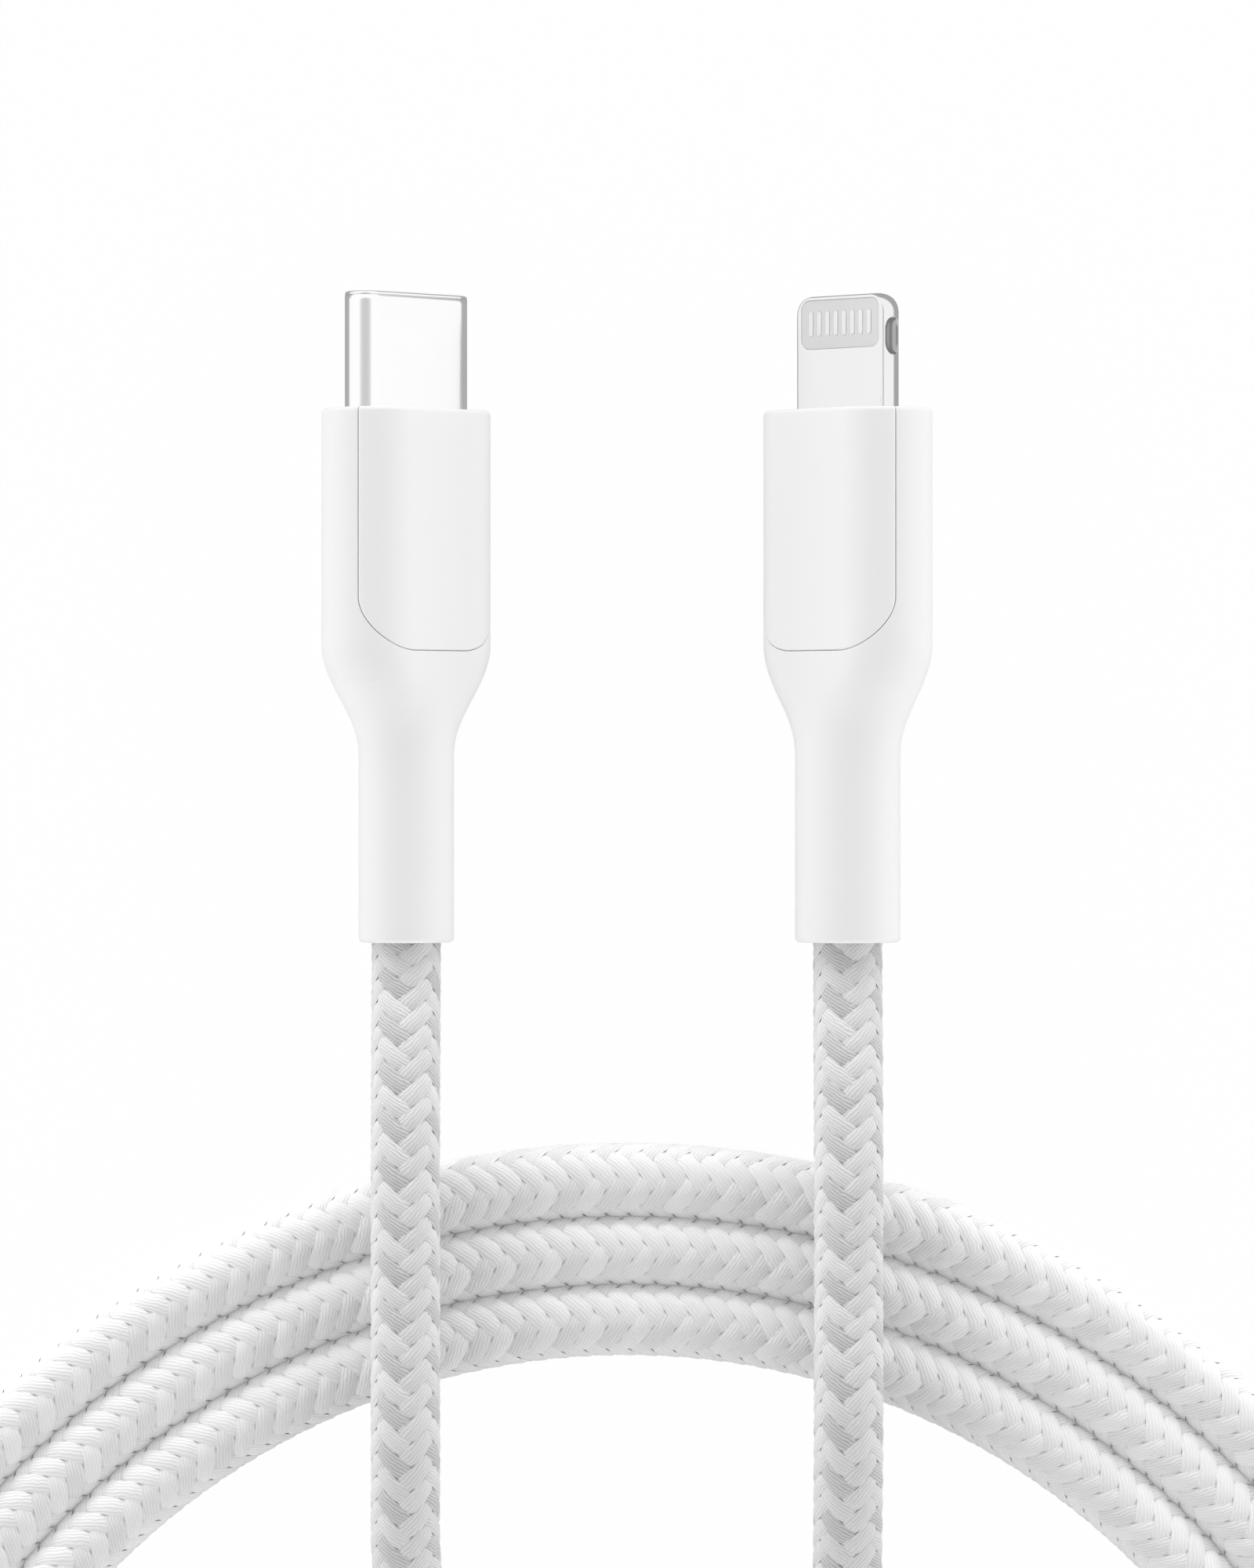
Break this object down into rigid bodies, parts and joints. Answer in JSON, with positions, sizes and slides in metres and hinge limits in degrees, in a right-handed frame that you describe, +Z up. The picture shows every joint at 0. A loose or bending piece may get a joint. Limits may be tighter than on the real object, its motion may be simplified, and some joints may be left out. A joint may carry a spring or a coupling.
{
  "type": "charging cable",
  "caption": "Braided charging lead lying in a flat coil, with an oval plug and a blade plug side by side in moulded housings with long sleeves.",
  "frame": {"origin": "on the table, midway between the two plug axes and halfway between the plugs' tips and the ends of their sleeves", "axes": "+X to the right from the oval plug to the blade plug, +Y toward the plug tips along both plugs, +Z up from the table"},
  "size_m": [0.091, 0.1275, 0.0091],
  "materials": {
    "housing": "fine matte, warm white",
    "panel": "soft matte white",
    "shell": "bright satin, drawn",
    "insulator": "matte moulding",
    "contacts": "bright gilding",
    "latch": "pressed spring strip",
    "board": "lacquered laminate",
    "chips": "moulded black",
    "solder": "bright, flowed",
    "shield": "tinned sheet",
    "mould": "milky filling",
    "ring": "drawn tube",
    "jacket": "smooth",
    "power_wire": "smooth sheath",
    "ground_wire": "smooth sheath",
    "data_wire": "smooth sheath",
    "blade": "satin, machined",
    "blade_insulator": "smooth, level with the frame",
    "blade_contacts": "pale plating",
    "braid": "woven, off-white"
  },
  "bodies": {
    "lead": {"oval_plug_housing": "housing", "oval_plug_front_panel": "panel", "oval_plug_back_panel": "panel", "oval_plug_shell": "shell", "oval_plug_insulator": "insulator", "oval_plug_upper_contacts": "contacts", "oval_plug_lower_contacts": "contacts", "oval_plug_latch_base": "latch", "oval_plug_upper_ground_spring": "latch", "oval_plug_lower_ground_spring": "latch", "oval_plug_board": "board", "oval_plug_chips": "chips", "oval_plug_solder_joints": "solder", "oval_plug_upper_shield": "shield", "oval_plug_lower_shield": "shield", "oval_plug_inner_mould": "mould", "oval_plug_crimp_ring": "ring", "oval_plug_jacket_end": "jacket", "oval_plug_power_wires": "power_wire", "oval_plug_ground_wires": "ground_wire", "oval_plug_data_wires": "data_wire", "blade_plug_housing": "housing", "blade_plug_front_panel": "panel", "blade_plug_back_panel": "panel", "blade_plug_blade": "blade", "blade_plug_insulator": "blade_insulator", "blade_plug_front_contacts": "blade_contacts", "blade_plug_back_contacts": "blade_contacts", "blade_plug_board": "board", "blade_plug_chips": "chips", "blade_plug_solder_joints": "solder", "blade_plug_upper_shield": "shield", "blade_plug_lower_shield": "shield", "blade_plug_inner_mould": "mould", "blade_plug_crimp_ring": "ring", "blade_plug_jacket_end": "jacket", "blade_plug_power_wires": "power_wire", "blade_plug_ground_wires": "ground_wire", "blade_plug_data_wires": "data_wire", "cable_oval_leg": "braid", "cable_coil": "braid", "cable_blade_leg": "braid"},
    "latch_arm_left": {"oval_plug_latch_left": "latch"},
    "latch_arm_right": {"oval_plug_latch_right": "latch"}
  },
  "joints": [
    {"name": "latch_left_flex", "type": "hinge", "parent": "lead", "child": "latch_arm_left", "pos_m": [-0.01525, 0.01141, 0.00672], "axis": [0.6428, 0, 0.766], "range_deg": [0, 2.5], "stiffness_Nm_per_rad": 0.25},
    {"name": "latch_right_flex", "type": "hinge", "parent": "lead", "child": "latch_arm_right", "pos_m": [-0.01005, 0.01141, 0.00235], "axis": [-0.6428, 0, -0.766], "range_deg": [0, 2.5], "stiffness_Nm_per_rad": 0.25}
  ]
}
